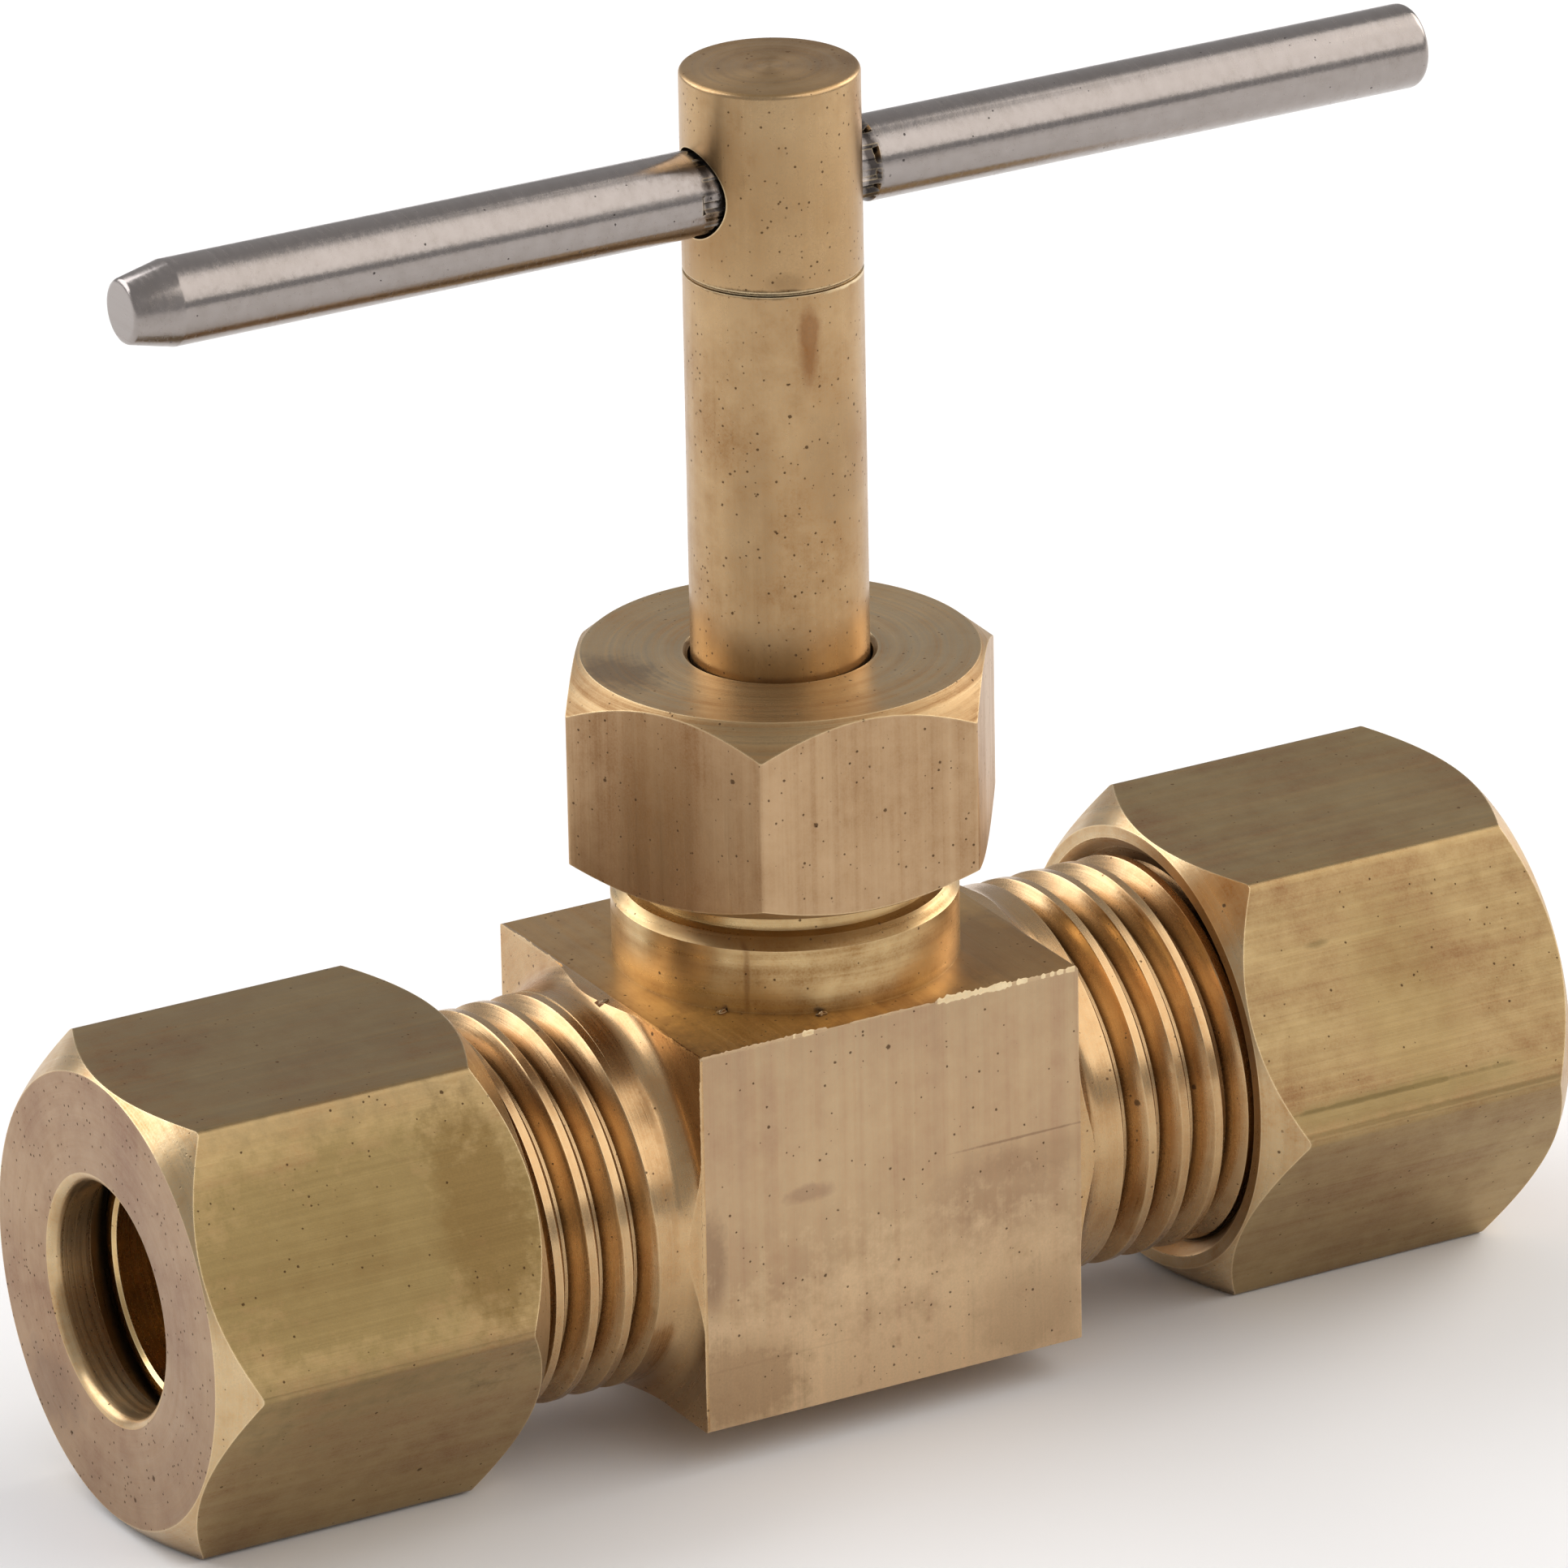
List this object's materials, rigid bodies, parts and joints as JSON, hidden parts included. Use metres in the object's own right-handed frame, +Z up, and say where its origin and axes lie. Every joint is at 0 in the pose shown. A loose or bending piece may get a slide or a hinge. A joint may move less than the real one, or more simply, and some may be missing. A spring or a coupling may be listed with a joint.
{
  "type": "needle valve",
  "caption": "Straight brass needle valve with a square bar body, hexagon compression nut at each end, hexagon packing nut, round stem and steel T-bar handle.",
  "frame": {"origin": "under the stem axis, level with the lowest corner of the compression nuts", "axes": "+Z up along the stem towards its handle, +X along the run towards the outlet (the right end), -Y towards the front face of the block"},
  "size_m": [0.0423, 0.0146, 0.0375],
  "materials": {
    "bar_brass": "sawn and turned bar, dulled to pinkish tan",
    "stem_brass": "drawn rod, satin",
    "nut_brass": "drawn hexagon, tarnished flats, bright turned chamfers",
    "ring_brass": "turned",
    "ferrule_brass": "turned, bright",
    "bar_steel": "drawn steel wire, brushed",
    "packing_ptfe": "white PTFE"
  },
  "bodies": {
    "body": {"valve_body": "bar_brass", "packing_ring_lower": "packing_ptfe", "packing_ring_middle": "packing_ptfe", "packing_ring_upper": "packing_ptfe"},
    "washer": {"packing_washer": "ring_brass"},
    "stem": {"stem": "stem_brass", "handle_bar": "bar_steel"},
    "follower": {"gland_follower": "ring_brass"},
    "packing_nut": {"packing_nut": "nut_brass"},
    "left_ferrule": {"left_ferrule": "ferrule_brass"},
    "left_nut": {"left_compression_nut": "nut_brass"},
    "right_ferrule": {"right_ferrule": "ferrule_brass"},
    "right_nut": {"right_compression_nut": "nut_brass"}
  },
  "joints": [
    {"name": "stem_turn", "type": "hinge", "parent": "body", "child": "washer", "pos_m": [0, 0, 0.02659], "axis": [0, 0, 1], "range_deg": [0, 1080]},
    {"name": "stem_rise", "type": "slide", "parent": "washer", "child": "stem", "axis": [0, 0, 1], "range_m": [0, 0.00238]},
    {"name": "gland_travel", "type": "slide", "parent": "body", "child": "follower", "axis": [0, 0, 1], "range_m": [0, 0.0037]},
    {"name": "packing_nut_turn", "type": "hinge", "parent": "follower", "child": "packing_nut", "pos_m": [0, 0, 0.01759], "axis": [0, 0, 1], "range_deg": [0, 1260]},
    {"name": "left_ferrule_travel", "type": "slide", "parent": "body", "child": "left_ferrule", "axis": [-1, 0, 0], "range_m": [-0.0008, 0.00423]},
    {"name": "left_nut_turn", "type": "hinge", "parent": "left_ferrule", "child": "left_nut", "pos_m": [-0.016, 0, 0.00659], "axis": [-1, 0, 0], "range_deg": [-270, 1440]},
    {"name": "right_ferrule_travel", "type": "slide", "parent": "body", "child": "right_ferrule", "axis": [1, 0, 0], "range_m": [-0.0008, 0.00423]},
    {"name": "right_nut_turn", "type": "hinge", "parent": "right_ferrule", "child": "right_nut", "pos_m": [0.016, 0, 0.00659], "axis": [1, 0, 0], "range_deg": [-270, 1440]}
  ],
  "couplings": [
    {"joint": "stem_rise", "follows": "stem_turn", "m_per_rad": 0.00012637},
    {"joint": "gland_travel", "follows": "packing_nut_turn", "m_per_rad": 0.00016839},
    {"joint": "left_ferrule_travel", "follows": "left_nut_turn", "m_per_rad": 0.00016839},
    {"joint": "right_ferrule_travel", "follows": "right_nut_turn", "m_per_rad": 0.00016839}
  ]
}
